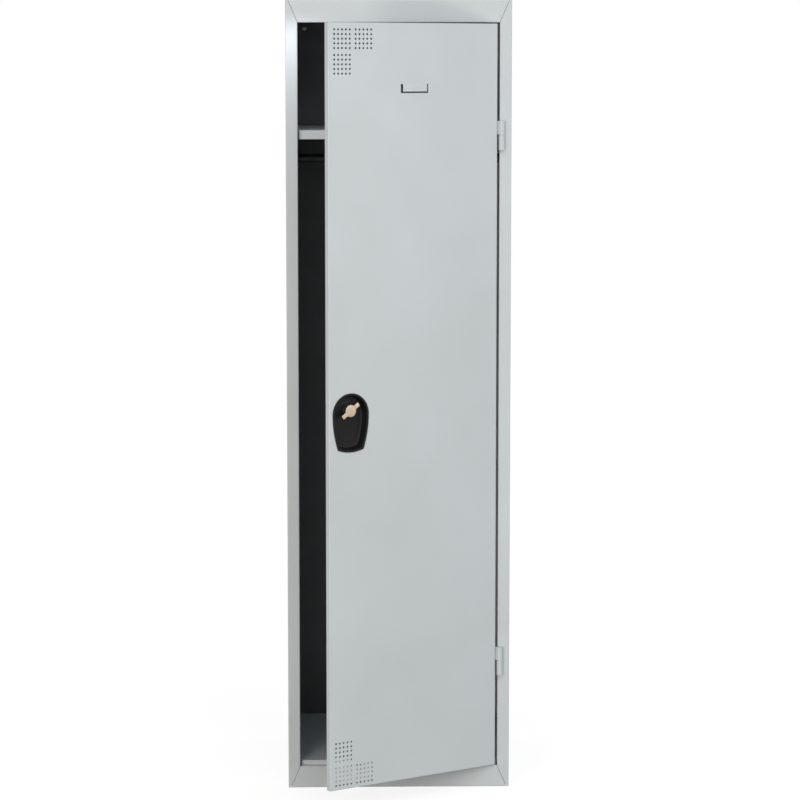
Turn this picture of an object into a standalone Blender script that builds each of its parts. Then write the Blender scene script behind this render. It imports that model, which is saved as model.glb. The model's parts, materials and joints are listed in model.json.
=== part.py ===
"""One-door clothing locker in folded steel sheet, in metres, +Z up, seen from the front along +Y.

The origin lies on the floor, in the middle of the front rail's foot return. The door stands open.
"""
import math

import bmesh
import bpy
from mathutils import Matrix, Vector

# Carcass, outside sizes
WIDTH = 0.508
DEPTH = 0.500
HEIGHT = 1.800
SHEET = 0.001
BEND = 0.002
BEND_STEPS = 3

# Clearances
SEAT_GAP = 0.0003
DOOR_GAP = 0.0026
MITRE_GAP = 0.0009
NOTCH_GAP = 0.0015
CUT_MARGIN = 0.010

# Front frame: C-section stiles and rails, mitred at the corners
STILE_FACE = 0.0272
STILE_DEPTH = 0.020
STILE_RETURN = 0.011
RAIL_FACE = 0.050
MITRE_INSET = 0.005
FOOT_RETURN = 0.020
SOFFIT_LIP = 0.012
REAR_FLANGE = 0.015
ROOF_FLANGE = 0.015

# Floor step and hat shelf
FLOOR_LIP = 0.010
LIP_END_GAP = 0.0023
HAT_SPACE = 0.2905
SHELF_LIP = 0.020
BRACKET_LENGTH = 0.300
BRACKET_LEG = 0.015
BRACKET_DROP = 0.018

# Wall-fixing holes in the back panel
FIXING_LENGTH = 0.010
FIXING_WIDTH = 0.006
FIXING_FROM_SIDE = 0.039
FIXING_FROM_TOP = 0.059

# Hanging rail and its sliding hooks
RAIL_RADIUS = 0.010
RAIL_WALL = 0.0015
RAIL_BELOW_SHELF = 0.070
SOCKET_RADIUS = 0.020
SOCKET_BASE = 0.002
SOCKET_RING = 0.010
SOCKET_WALL = 0.002
HOOK_WIRE = 0.004
HOOK_PLAY = 0.0008
HOOK_SHANK = 0.032
HOOK_BOWL = 0.012
HOOK_TIP = 0.010
HOOK_FROM_CENTRE = 0.080

# Door: a pan with returned flanges, hung on the right
DOOR_OPEN = math.radians(32.0)
DOOR_THICK = 0.015
DOOR_RETURN = 0.012
STOP_GAP = 0.002
STIFFENER_FACE = 0.040
STIFFENER_DEPTH = 0.010
STIFFENER_FLANGE = 0.015
STIFFENER_FROM_END = 0.080
STIFFENER_UNDER_LABEL = 0.030
BUFFER_FROM_CENTRE = 0.150
BUFFER_TAPER = 0.8

# Perforations: three square groups in an L at each corner on the free side
HOLE_RADIUS = 0.0025
HOLE_SIDES = 10
HOLE_PITCH = 0.010
HOLES_PER_SIDE = 5
GROUP_GAP = 0.015
HOLES_FROM_EDGE = 0.016
HOLES_FROM_TOP = 0.015
HOLES_FROM_BOTTOM = 0.0108

# Label holder: a tongue lanced from the door skin and pushed out of it, with a pocket behind
LABEL_WIDTH = 0.072
LABEL_HEIGHT = 0.020
LABEL_FROM_TOP = 0.133
LABEL_SLIT = 0.0035
LABEL_SIDE_SLIT = 0.0055
TONGUE_RISE = 0.0012
TONGUE_RAMP = 0.004
TONGUE_BITE = 0.0003
POCKET_MARGIN = 0.010
POCKET_DEPTH = 0.003
POCKET_BEND = 0.0012

# Hinges: barrel in front of the frame, door knuckle over frame knuckle
HINGE_FROM_JAMB = 0.0047
HINGE_FORWARD = 0.0065
BARREL_RADIUS = 0.006
PIN_RADIUS = 0.003
PIN_CHAMFER = 0.00075
KNUCKLE_DOOR = 0.030
KNUCKLE_FRAME = 0.034
LEAF_THICK = 0.0015
LEAF_DEPTH = 0.013
WASHER_THICK = 0.0008
HINGE_FROM_TOP = 0.2475
HINGE_FROM_BOTTOM = 0.2455

# Handle cup, moulded, with a boss that carries the latch
CUP_RADIUS = 0.047
CUP_BELOW_LATCH = 0.008
CUP_FOOT_HALF = 0.0335
CUP_DROP = 0.084
CUP_SAG = 0.006
CUP_SIDE_STRAIGHT = 0.038
CUP_SIDE_STEPS = 6
CUP_FROM_EDGE = 0.056
CUP_RIM = 0.0045
CUP_WALL = 0.0015
CUP_DEPTH = 0.0155
CUP_DRAFT = 0.004
BOSS_RADIUS = 0.0155
BOSS_BELOW_FACE = 0.0118

# Turn latch
LATCH_HEIGHT = 0.901
LATCH_TURN = math.radians(34.0)
KNOB_RADIUS = 0.0135
KNOB_THICK = 0.0035
KNOB_EDGE = 0.0006
BAR_LENGTH = 0.051
BAR_WIDTH = 0.0095
BAR_THICK = 0.0030
BAR_EDGE = 0.001
SPINDLE_RADIUS = 0.004
SPINDLE_END = 0.002
BUSH_RADIUS = 0.006
BUSH_COLLAR_RADIUS = 0.0125
BUSH_COLLAR = 0.0098
BUSH_NUT_RADIUS = 0.010
BUSH_NUT_THICK = 0.003
CAM_CLEARANCE = 0.0022
CAM_REACH = 0.069
CAM_HALF = 0.008
CAM_TIP_HALF = 0.006
CAM_THICK = 0.0025
CAM_WASHER_RADIUS = 0.009
CAM_WASHER_THICK = 0.001
CAM_NUT_RADIUS = 0.0075
CAM_NUT_THICK = 0.004

ROUND_STEPS = 24
ARC_STEPS = 12

# Planes and edges that several pieces share
FRONT = -FOOT_RETURN / 2
BACK = FRONT + DEPTH
HALF = WIDTH / 2
JAMB = HALF - STILE_FACE
INSIDE = HALF - SHEET - SEAT_GAP
TRAY_BACK = BACK - 2 * (SHEET + SEAT_GAP)
STOP_PLANE = FRONT + DOOR_THICK + STOP_GAP
BEHIND_STILE = FRONT + STILE_DEPTH + NOTCH_GAP
BEHIND_FACE = FRONT + 1.5 * SHEET
FLOOR_TOP = RAIL_FACE + FLOOR_LIP
BUFFER_RADIUS = FLOOR_LIP / 2 - BEND - SEAT_GAP
DOOR_HALF = JAMB - DOOR_GAP
DOOR_BOTTOM = RAIL_FACE + DOOR_GAP
DOOR_TOP = HEIGHT - RAIL_FACE - DOOR_GAP
LIP_HALF = JAMB - LIP_END_GAP
SHELF_TOP = HEIGHT - HAT_SPACE
RAIL_HEIGHT = SHELF_TOP - RAIL_BELOW_SHELF
RAIL_DEPTH = (FRONT + BACK) / 2
HINGE_X = JAMB + HINGE_FROM_JAMB
HINGE_Y = FRONT - HINGE_FORWARD
LATCH_X = -DOOR_HALF + CUP_FROM_EDGE
LABEL_TOP = DOOR_TOP - LABEL_FROM_TOP
CUP_BACK = CUP_DEPTH + CUP_WALL
CAM_FRONT = max(STILE_DEPTH + CAM_CLEARANCE, CUP_BACK + BUSH_NUT_THICK + 2 * SEAT_GAP)
SPINDLE_BORE = SPINDLE_RADIUS + SEAT_GAP
QUARTER_TURN = Matrix.Rotation(math.radians(90.0), 3, "X")


def start_scene():
    """Empty the scene and give it one collection for the locker and one for the cutters."""
    for old in list(bpy.data.objects):
        bpy.data.objects.remove(old, do_unlink=True)
    collections = {}
    for name in ("clothing_locker", "cutters"):
        collections[name] = bpy.data.collections.new(name)
        bpy.context.scene.collection.children.link(collections[name])
    return collections


COLLECTIONS = start_scene()


def material(name, colour, roughness, metallic):
    """Principled material of one colour, given in linear RGB."""
    made = bpy.data.materials.new(name)
    made.use_nodes = True
    shader = made.node_tree.nodes["Principled BSDF"]
    shader.inputs["Base Color"].default_value = (*colour, 1.0)
    shader.inputs["Roughness"].default_value = roughness
    shader.inputs["Metallic"].default_value = metallic
    return made


PAINT = material("light_grey_powder_coat", (0.58, 0.62, 0.63), 0.45, 0.0)
DARK_PAINT = material("dark_grey_powder_coat", (0.11, 0.11, 0.105), 0.45, 0.0)
BLACK_PAINT = material("black_powder_coat", (0.02, 0.02, 0.02), 0.45, 0.0)
BLACK_PLASTIC = material("black_moulded_plastic", (0.02, 0.02, 0.02), 0.5, 0.0)
GREY_PLASTIC = material("grey_moulded_plastic", (0.07, 0.07, 0.073), 0.5, 0.0)
NICKEL = material("satin_nickel", (0.66, 0.57, 0.46), 0.35, 1.0)
ZINC = material("zinc_plate", (0.60, 0.61, 0.63), 0.35, 1.0)
RUBBER = material("black_rubber", (0.03, 0.03, 0.03), 0.8, 0.0)
NYLON = material("white_nylon", (0.75, 0.74, 0.70), 0.5, 0.0)


def empty(name, location, rotation=(0.0, 0.0, 0.0), parent=None):
    """Empty that carries pieces, such as a joint's pivot."""
    made = bpy.data.objects.new(name, None)
    COLLECTIONS["clothing_locker"].objects.link(made)
    made.location = location
    made.rotation_euler = rotation
    made.parent = parent
    return made


def piece(name, data, finish, parent=None, location=(0.0, 0.0, 0.0), rotation=(0.0, 0.0, 0.0)):
    """Named piece of the locker."""
    made = bpy.data.objects.new(name, data)
    COLLECTIONS["clothing_locker"].objects.link(made)
    data.materials.append(finish)
    made.parent = parent
    made.location = location
    made.rotation_euler = rotation
    return made


def helper(name, data, parent=None, location=(0.0, 0.0, 0.0)):
    """Cutter or joined shape, which isn't a piece by itself."""
    made = bpy.data.objects.new(name, data)
    COLLECTIONS["cutters"].objects.link(made)
    made.parent = parent
    made.location = location
    made.hide_render = True
    made.display_type = "WIRE"
    return made


def to_mesh(name, bm):
    """Finish a bmesh as named mesh data."""
    mesh = bpy.data.meshes.new(name)
    bm.to_mesh(mesh)
    bm.free()
    return mesh


def add_box(bm, low, high):
    """Add a box between two corners and return its vertices."""
    made = bmesh.ops.create_cube(bm, size=1.0)["verts"]
    low, high = Vector(low), Vector(high)
    bmesh.ops.scale(bm, vec=high - low, verts=made)
    bmesh.ops.translate(bm, vec=(low + high) / 2, verts=made)
    return made


def boxes(name, *corner_pairs):
    """Mesh of one or more boxes, each given by two corners."""
    bm = bmesh.new()
    for low, high in corner_pairs:
        add_box(bm, low, high)
    return to_mesh(name, bm)


def both_sides(low, high):
    """A box at +X and its mirror image at -X, as two corner pairs."""
    return (low, high), ((-high[0], low[1], low[2]), (-low[0], high[1], high[2]))


def open_box(low, high, open_side):
    """Bmesh of a box surface without the face on open_side."""
    bm = bmesh.new()
    add_box(bm, low, high)
    bm.normal_update()
    lost = [face for face in bm.faces if face.normal.dot(Vector(open_side)) > 0.9]
    bmesh.ops.delete(bm, geom=lost, context="FACES_ONLY")
    return bm


def fold_on(bm, middle, moves):
    """Extend the sheet from the boundary edge nearest a point, by one fold for each move."""
    rim = [edge for edge in bm.edges if edge.is_boundary]
    edge = min(rim, key=lambda e: ((e.verts[0].co + e.verts[1].co) / 2 - Vector(middle)).length)
    for move in moves:
        grown = bmesh.ops.extrude_edge_only(bm, edges=[edge])["geom"]
        edge = next(part for part in grown if isinstance(part, bmesh.types.BMEdge))
        bmesh.ops.translate(bm, vec=move, verts=list(edge.verts))


def swept_strip(name, points, along):
    """Open surface swept from a polyline along one vector."""
    bm = bmesh.new()
    corners = [bm.verts.new(point) for point in points]
    edges = [bm.edges.new(pair) for pair in zip(corners, corners[1:])]
    grown = bmesh.ops.extrude_edge_only(bm, edges=edges)["geom"]
    bmesh.ops.translate(bm, vec=along, verts=[v for v in grown if isinstance(v, bmesh.types.BMVert)])
    return to_mesh(name, bm)


def fold_sheet(obj, side=-1.0, thick=SHEET, radius=BEND):
    """Round the folds of an open surface and give it the sheet's thickness on one side."""
    bends = obj.modifiers.new("bends", "BEVEL")
    bends.limit_method = "ANGLE"
    bends.width = radius
    bends.segments = BEND_STEPS
    sheet = obj.modifiers.new("sheet", "SOLIDIFY")
    sheet.thickness = thick
    sheet.offset = side
    sheet.use_even_offset = True
    sheet.use_quality_normals = True


def combine(obj, other, operation):
    """Cut another shape out of a piece, or join it on."""
    step = obj.modifiers.new(other.name, "BOOLEAN")
    step.operation = operation
    step.object = other


def turned(name, profile, ring=False):
    """Profile of (radius, height) points for turn, listed from the top down; a ring is closed on itself."""
    bm = bmesh.new()
    points = [bm.verts.new((radius, 0.0, height)) for radius, height in profile]
    for pair in zip(points, points[1:]):
        bm.edges.new(pair)
    if ring:
        bm.edges.new((points[-1], points[0]))
    return to_mesh(name, bm)


def turn(obj, steps=ROUND_STEPS):
    """Revolve a profile about its own Z axis."""
    screw = obj.modifiers.new("turned", "SCREW")
    screw.axis = "Z"
    screw.steps = steps
    screw.render_steps = steps
    screw.use_merge_vertices = True
    screw.merge_threshold = 0.00001
    screw.use_smooth_shade = False


def ring_profile(inner, outer, low, high):
    """Closed profile of a plain tube or washer."""
    return [(inner, high), (outer, high), (outer, low), (inner, low)]


def arc(centre, radius, start, end, steps):
    """Points on a circular arc, from one angle to another in degrees."""
    angles = [math.radians(start + (end - start) * i / steps) for i in range(steps + 1)]
    return [(centre[0] + radius * math.cos(a), centre[1] + radius * math.sin(a)) for a in angles]


def circle(radius, steps=ROUND_STEPS):
    """Points of a full circle or regular polygon about the origin."""
    return arc((0.0, 0.0), radius, 0.0, 360.0, steps)[:-1]


def flat_curve(name, outlines, thick):
    """2D curve of closed outlines, filled and extruded: the first is the outside, the others are holes."""
    curve = bpy.data.curves.new(name, "CURVE")
    curve.dimensions = "2D"
    curve.fill_mode = "BOTH"
    curve.extrude = thick / 2
    curve.render_resolution_u = 0
    for outline in outlines:
        spline = curve.splines.new("POLY")
        spline.points.add(len(outline) - 1)
        for point, (x, y) in zip(spline.points, outline):
            point.co = (x, y, 0.0, 1.0)
        spline.use_cyclic_u = True
    return curve


def prism(name, outline, low, high):
    """Closed mesh of an outline in XY, extruded from one height to another."""
    curve = flat_curve(name, [outline], high - low)
    holder = bpy.data.objects.new(name, curve)
    COLLECTIONS["cutters"].objects.link(holder)
    graph = bpy.context.evaluated_depsgraph_get()
    mesh = bpy.data.meshes.new_from_object(holder.evaluated_get(graph))
    bpy.data.objects.remove(holder, do_unlink=True)
    bm = bmesh.new()
    bm.from_mesh(mesh)
    bpy.data.meshes.remove(mesh)
    bmesh.ops.remove_doubles(bm, verts=bm.verts, dist=0.000001)
    bmesh.ops.recalc_face_normals(bm, faces=bm.faces)
    bmesh.ops.translate(bm, vec=(0.0, 0.0, (low + high) / 2), verts=bm.verts)
    return to_mesh(name, bm)


def corner_prism(name, outline, low, high):
    """Prism of an XZ outline at +X between two depths, with its mirror image at -X."""
    obj = helper(name, prism(name, outline, -high, -low))
    obj.rotation_euler = (math.radians(90.0), 0.0, 0.0)
    mirror = obj.modifiers.new("other_side", "MIRROR")
    mirror.merge_threshold = 0.0001
    return obj


def mitre(name, rail_edge, outer_edge, for_rail):
    """Cutter that ends a rail, or the stiles beside it, along the mitre of the front frame."""
    slope = (STILE_FACE - MITRE_INSET) / (outer_edge - rail_edge)
    reach = math.copysign(CUT_MARGIN, outer_edge - rail_edge)
    seam = JAMB - MITRE_GAP if for_rail else JAMB
    ends = [(seam + slope * (z - rail_edge), z) for z in (rail_edge - reach, outer_edge + reach)]
    side = HALF + CUT_MARGIN if for_rail else ends[0][0] - CUT_MARGIN
    outline = ends + [(side, ends[1][1]), (side, ends[0][1])]
    depth = FRONT + BEND + SEAT_GAP if for_rail else BEHIND_STILE
    return corner_prism(name, outline, FRONT - CUT_MARGIN, depth)


def build_side_panels():
    """Side walls, each folded from one sheet with its stile and rear flange."""
    top_mitre = mitre("stile_mitre_top", HEIGHT - RAIL_FACE, HEIGHT, False)
    bottom_mitre = mitre("stile_mitre_bottom", RAIL_FACE, 0.0, False)
    rear = BACK - SHEET - SEAT_GAP
    for name, sign in (("side_panel_left", -1), ("side_panel_right", 1)):
        section = [
            (JAMB + STILE_RETURN, FRONT + STILE_DEPTH),
            (JAMB, FRONT + STILE_DEPTH),
            (JAMB, FRONT),
            (HALF, FRONT),
            (HALF, rear),
            (HALF - REAR_FLANGE, rear),
        ]
        points = [(sign * x, y, 0.0) for x, y in section]
        panel = piece(name, swept_strip(name, points, (0.0, 0.0, HEIGHT)), PAINT)
        fold_sheet(panel, side=float(sign))
        combine(panel, top_mitre, "DIFFERENCE")
        combine(panel, bottom_mitre, "DIFFERENCE")


def build_back_panel():
    """Back sheet outside the rear flanges, with an oblong wall-fixing hole at each top corner."""
    sheet = boxes("back_panel", ((-HALF, BACK - SHEET, 0.0), (HALF, BACK, HEIGHT)))
    panel = piece("back_panel", sheet, DARK_PAINT)
    end = FIXING_WIDTH / 2
    run = (FIXING_LENGTH - FIXING_WIDTH) / 2
    outline = arc((run, 0.0), end, -90, 90, ARC_STEPS // 2) + arc((-run, 0.0), end, 90, 270, ARC_STEPS // 2)
    centre = (HALF - FIXING_FROM_SIDE, HEIGHT - FIXING_FROM_TOP)
    placed = [(x + centre[0], z + centre[1]) for x, z in outline]
    holes = corner_prism("fixing_holes", placed, BACK - CUT_MARGIN, BACK + CUT_MARGIN)
    combine(panel, holes, "DIFFERENCE")


def build_top_panel():
    """Roof tray whose front flange is the top rail, with a soffit and a stiffening lip behind it."""
    bm = open_box((-INSIDE, FRONT, HEIGHT - ROOF_FLANGE), (INSIDE, TRAY_BACK, HEIGHT), (0, 0, -1))
    folds = [(0, 0, ROOF_FLANGE - RAIL_FACE), (0, STILE_DEPTH, 0), (0, 0, SOFFIT_LIP)]
    fold_on(bm, (0, FRONT, HEIGHT - ROOF_FLANGE), folds)
    panel = piece("top_panel", to_mesh("top_panel", bm), PAINT)
    fold_sheet(panel)
    combine(panel, mitre("rail_mitre_top", HEIGHT - RAIL_FACE, HEIGHT, True), "DIFFERENCE")
    low = (JAMB - MITRE_GAP, BEHIND_FACE, HEIGHT - RAIL_FACE - CUT_MARGIN)
    high = (HALF + CUT_MARGIN, BEHIND_STILE, HEIGHT - RAIL_FACE + SOFFIT_LIP + NOTCH_GAP)
    ends = helper("soffit_ends", boxes("soffit_ends", *both_sides(low, high)))
    combine(panel, ends, "DIFFERENCE")


def build_bottom_panel():
    """Floor tray with a stop lip, a ledge under the door, the bottom rail and its foot return."""
    bm = open_box((-INSIDE, STOP_PLANE, RAIL_FACE), (INSIDE, TRAY_BACK, FLOOR_TOP), (0, 0, -1))
    folds = [(0, FRONT - STOP_PLANE, 0), (0, 0, -RAIL_FACE), (0, FOOT_RETURN, 0)]
    fold_on(bm, (0, STOP_PLANE, RAIL_FACE), folds)
    panel = piece("bottom_panel", to_mesh("bottom_panel", bm), PAINT)
    fold_sheet(panel)
    combine(panel, mitre("rail_mitre_bottom", RAIL_FACE, 0.0, True), "DIFFERENCE")
    low = (LIP_HALF, BEHIND_FACE, -CUT_MARGIN)
    high = (HALF + CUT_MARGIN, BEHIND_STILE, FLOOR_TOP + CUT_MARGIN)
    combine(panel, helper("floor_ends", boxes("floor_ends", *both_sides(low, high))), "DIFFERENCE")


def build_door_buffers():
    """Rubber buttons on the stop lip, which the closed door meets."""
    height = STOP_GAP - 2 * SEAT_GAP
    profile = [(0.0, height), (BUFFER_RADIUS * BUFFER_TAPER, height), (BUFFER_RADIUS, 0.0), (0.0, 0.0)]
    for name, sign in (("door_buffer_left", -1), ("door_buffer_right", 1)):
        place = (sign * BUFFER_FROM_CENTRE, STOP_PLANE - SEAT_GAP, RAIL_FACE + FLOOR_LIP / 2)
        button = piece(name, turned(name, profile), RUBBER, location=place, rotation=(math.radians(90), 0, 0))
        turn(button, ARC_STEPS)


def build_hat_shelf():
    """Hat shelf tray with notched front corners, on an angle bracket at each wall."""
    bm = open_box((-INSIDE, STOP_PLANE, SHELF_TOP - SHELF_LIP), (INSIDE, TRAY_BACK, SHELF_TOP), (0, 0, -1))
    shelf = piece("hat_shelf", to_mesh("hat_shelf", bm), PAINT)
    fold_sheet(shelf)
    low = (LIP_HALF, FRONT, SHELF_TOP - SHELF_LIP - CUT_MARGIN)
    high = (HALF + CUT_MARGIN, BEHIND_STILE, SHELF_TOP + CUT_MARGIN)
    combine(shelf, helper("shelf_notches", boxes("shelf_notches", *both_sides(low, high))), "DIFFERENCE")
    seat = SHELF_TOP - SHELF_LIP - SEAT_GAP
    start = (BEHIND_STILE + TRAY_BACK - BRACKET_LENGTH) / 2
    for name, sign in (("shelf_bracket_left", -1), ("shelf_bracket_right", 1)):
        section = [(INSIDE, seat - BRACKET_DROP), (INSIDE, seat), (INSIDE - BRACKET_LEG, seat)]
        points = [(sign * x, start, z) for x, z in section]
        bracket = piece(name, swept_strip(name, points, (0.0, BRACKET_LENGTH, 0.0)), PAINT)
        fold_sheet(bracket, side=-float(sign))


def build_hanging_rail():
    """Tube across the locker under the shelf, held in a flanged socket at each wall."""
    base = INSIDE - SOCKET_BASE
    run = base - SEAT_GAP
    across = (0.0, math.radians(90.0), 0.0)
    place = (0.0, RAIL_DEPTH, RAIL_HEIGHT)
    tube = turned("hanging_rail", ring_profile(RAIL_RADIUS - RAIL_WALL, RAIL_RADIUS, -run, run), ring=True)
    turn(piece("hanging_rail", tube, BLACK_PAINT, location=place, rotation=across))
    bore = RAIL_RADIUS + SEAT_GAP
    profile = [
        (0.0, 0.0),
        (bore, 0.0),
        (bore, SOCKET_RING),
        (bore + SOCKET_WALL, SOCKET_RING),
        (bore + SOCKET_WALL, 0.0),
        (SOCKET_RADIUS, 0.0),
        (SOCKET_RADIUS, -SOCKET_BASE),
        (0.0, -SOCKET_BASE),
    ]
    for name, sign in (("rail_socket_left", -1), ("rail_socket_right", 1)):
        socket_place = (sign * base, RAIL_DEPTH, RAIL_HEIGHT)
        facing = (0.0, math.radians(-90.0 * sign), 0.0)
        turn(piece(name, turned(name, profile), ZINC, location=socket_place, rotation=facing))


def build_coat_hooks():
    """Bent-wire hooks that hang on the rail and slide along it."""
    wire = HOOK_WIRE / 2
    eye = RAIL_RADIUS + HOOK_PLAY + wire
    drop = HOOK_PLAY - SEAT_GAP
    bowl_centre = (-eye - HOOK_BOWL, -drop - HOOK_SHANK)
    path = arc((0.0, -drop), eye, -60.0, 180.0, ARC_STEPS + 4)
    path += arc(bowl_centre, HOOK_BOWL, 0.0, -180.0, ARC_STEPS)
    path.append((bowl_centre[0] - HOOK_BOWL, bowl_centre[1] + HOOK_TIP))
    for name, sign in (("coat_hook_left", -1), ("coat_hook_right", 1)):
        curve = bpy.data.curves.new(name, "CURVE")
        curve.dimensions = "3D"
        curve.bevel_depth = wire
        curve.bevel_resolution = 2
        curve.use_fill_caps = True
        curve.render_resolution_u = 0
        spline = curve.splines.new("POLY")
        spline.points.add(len(path) - 1)
        for point, (y, z) in zip(spline.points, path):
            point.co = (0.0, y, z, 1.0)
        piece(name, curve, ZINC, location=(sign * HOOK_FROM_CENTRE, RAIL_DEPTH, RAIL_HEIGHT))


def hole_rows(start, step):
    """Places along one side of an L of groups: two groups of holes, one after the other."""
    stride = (HOLES_PER_SIDE - 1) * HOLE_PITCH + GROUP_GAP
    firsts = (start, start + step * stride)
    return [[first + step * i * HOLE_PITCH for i in range(HOLES_PER_SIDE)] for first in firsts]


def perforation_cutter(door):
    """Round punches for the groups of holes at the two corners on the free side."""
    across = hole_rows(-DOOR_HALF + HOLES_FROM_EDGE, 1.0)
    corners = (hole_rows(DOOR_TOP - HOLES_FROM_TOP, -1.0), hole_rows(DOOR_BOTTOM + HOLES_FROM_BOTTOM, 1.0))
    bm = bmesh.new()
    for down in corners:
        for columns, rows in ((across[0], down[0]), (across[1], down[0]), (across[0], down[1])):
            for x in columns:
                for z in rows:
                    punch = bmesh.ops.create_cone(
                        bm, cap_ends=True, segments=HOLE_SIDES,
                        radius1=HOLE_RADIUS, radius2=HOLE_RADIUS, depth=DOOR_THICK,
                    )["verts"]
                    bmesh.ops.rotate(bm, verts=punch, cent=(0, 0, 0), matrix=QUARTER_TURN)
                    bmesh.ops.translate(bm, verts=punch, vec=(x, FRONT, z))
    return helper("perforations", to_mesh("perforations", bm), door)


def label_cutter(door):
    """Window in the door skin, which the label tongue leaves open on three sides."""
    half = LABEL_WIDTH / 2
    low = (-half, FRONT - SHEET, LABEL_TOP - LABEL_HEIGHT)
    high = (half, FRONT + 2 * SHEET, LABEL_TOP)
    return helper("label_window", boxes("label_window", (low, high)), door)


def label_tongue(door):
    """Tongue on the window's top edge, which rises from the skin and runs down in front of the pocket."""
    face = FRONT - TONGUE_RISE
    root = LABEL_TOP + SHEET / 2
    ramp = LABEL_TOP - TONGUE_RAMP
    foot = LABEL_TOP - LABEL_HEIGHT + LABEL_SLIT
    section = [
        (FRONT + TONGUE_BITE, root),
        (face, ramp),
        (face, foot),
        (face + SHEET, foot),
        (face + SHEET, ramp),
        (FRONT + SHEET - TONGUE_BITE / 2, root),
    ]
    left = -LABEL_WIDTH / 2 + LABEL_SIDE_SLIT
    right = LABEL_WIDTH / 2 - LABEL_SLIT
    bm = bmesh.new()
    end = bm.faces.new([bm.verts.new((left, y, z)) for y, z in section])
    grown = bmesh.ops.extrude_face_region(bm, geom=[end])["geom"]
    far = [part for part in grown if isinstance(part, bmesh.types.BMVert)]
    bmesh.ops.translate(bm, vec=(right - left, 0.0, 0.0), verts=far)
    bmesh.ops.recalc_face_normals(bm, faces=bm.faces)
    return helper("label_tongue", to_mesh("label_tongue", bm), door)


def build_door_panel(door):
    """Door pan: skin, flanges and returns, with its perforations, label tongue and handle cut-out."""
    bm = open_box((-DOOR_HALF, FRONT, DOOR_BOTTOM), (DOOR_HALF, FRONT + DOOR_THICK, DOOR_TOP), (0, 1, 0))
    rim = [edge for edge in bm.edges if edge.is_boundary]
    grown = bmesh.ops.extrude_edge_only(bm, edges=rim)["geom"]
    middle = (DOOR_BOTTOM + DOOR_TOP) / 2
    for vert in [part for part in grown if isinstance(part, bmesh.types.BMVert)]:
        vert.co.x -= math.copysign(DOOR_RETURN, vert.co.x)
        vert.co.z -= math.copysign(DOOR_RETURN, vert.co.z - middle)
    panel = piece("door_panel", to_mesh("door_panel", bm), PAINT, door)
    fold_sheet(panel)
    combine(panel, cup_cutter(door), "DIFFERENCE")
    combine(panel, label_cutter(door), "DIFFERENCE")
    combine(panel, label_tongue(door), "UNION")
    combine(panel, perforation_cutter(door), "DIFFERENCE")


def build_door_stiffener(door):
    """Hat section down the inner face of the door skin, from the foot of the door to below the label."""
    skin = FRONT + SHEET + SEAT_GAP
    half = STIFFENER_FACE / 2
    section = [
        (-half - STIFFENER_FLANGE, skin),
        (-half, skin),
        (-half, skin + STIFFENER_DEPTH),
        (half, skin + STIFFENER_DEPTH),
        (half, skin),
        (half + STIFFENER_FLANGE, skin),
    ]
    low = DOOR_BOTTOM + STIFFENER_FROM_END
    high = LABEL_TOP - LABEL_HEIGHT - POCKET_MARGIN - STIFFENER_UNDER_LABEL
    points = [(x, y, low) for x, y in section]
    rib = piece("door_stiffener", swept_strip("door_stiffener", points, (0.0, 0.0, high - low)), PAINT, door)
    fold_sheet(rib, side=1.0)


def build_label_pocket(door):
    """Shallow moulded pan behind the label tongue, which holds the card."""
    skin = FRONT + SHEET + SEAT_GAP
    half = LABEL_WIDTH / 2 + POCKET_MARGIN
    low = LABEL_TOP - LABEL_HEIGHT - POCKET_MARGIN
    bm = open_box((-half, skin, low), (half, skin + POCKET_DEPTH, LABEL_TOP), (0, -1, 0))
    pocket = piece("label_pocket", to_mesh("label_pocket", bm), GREY_PLASTIC, door)
    fold_sheet(pocket, radius=POCKET_BEND)


def hinge_leaf(name, jaw, plate, parent):
    """Rolled knuckle about the hinge axis, joined to its flat leaf."""
    low, high = jaw
    leaf = piece(
        name, turned(name, ring_profile(PIN_RADIUS + SEAT_GAP, BARREL_RADIUS, low, high), ring=True),
        PAINT, parent, location=(HINGE_X, HINGE_Y, 0.0),
    )
    turn(leaf)
    sheet = ((plate, HINGE_Y, low), (plate + LEAF_THICK, FRONT + LEAF_DEPTH, high))
    flat = helper(name + "_flat", boxes(name + "_flat", sheet), parent)
    combine(leaf, flat, "UNION")


def build_hinges(door):
    """Two barrel hinges: the door's knuckle stands on a washer over the frame's knuckle, round one pin."""
    on_door = DOOR_HALF + SEAT_GAP
    on_frame = JAMB - SEAT_GAP - LEAF_THICK
    half_gap = WASHER_THICK / 2 + SEAT_GAP
    joints = (("top", DOOR_TOP - HINGE_FROM_TOP), ("bottom", DOOR_BOTTOM + HINGE_FROM_BOTTOM))
    for name, line in joints:
        above = (line + half_gap, line + half_gap + KNUCKLE_DOOR)
        below = (line - half_gap - KNUCKLE_FRAME, line - half_gap)
        hinge_leaf("hinge_door_leaf_" + name, above, on_door, door)
        hinge_leaf("hinge_frame_leaf_" + name, below, on_frame, None)
        pin = "hinge_pin_" + name
        profile = [
            (0.0, above[1]),
            (PIN_RADIUS - PIN_CHAMFER, above[1]),
            (PIN_RADIUS, above[1] - PIN_CHAMFER),
            (PIN_RADIUS, below[0]),
            (0.0, below[0]),
        ]
        turn(piece(pin, turned(pin, profile), ZINC, location=(HINGE_X, HINGE_Y, 0.0)), ARC_STEPS)
        washer = "hinge_washer_" + name
        bore = PIN_RADIUS + SEAT_GAP
        rim = BARREL_RADIUS - SEAT_GAP
        band = ring_profile(bore, rim, line - WASHER_THICK / 2, line + WASHER_THICK / 2)
        turn(piece(washer, turned(washer, band, ring=True), NYLON, location=(HINGE_X, HINGE_Y, 0.0)))


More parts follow.
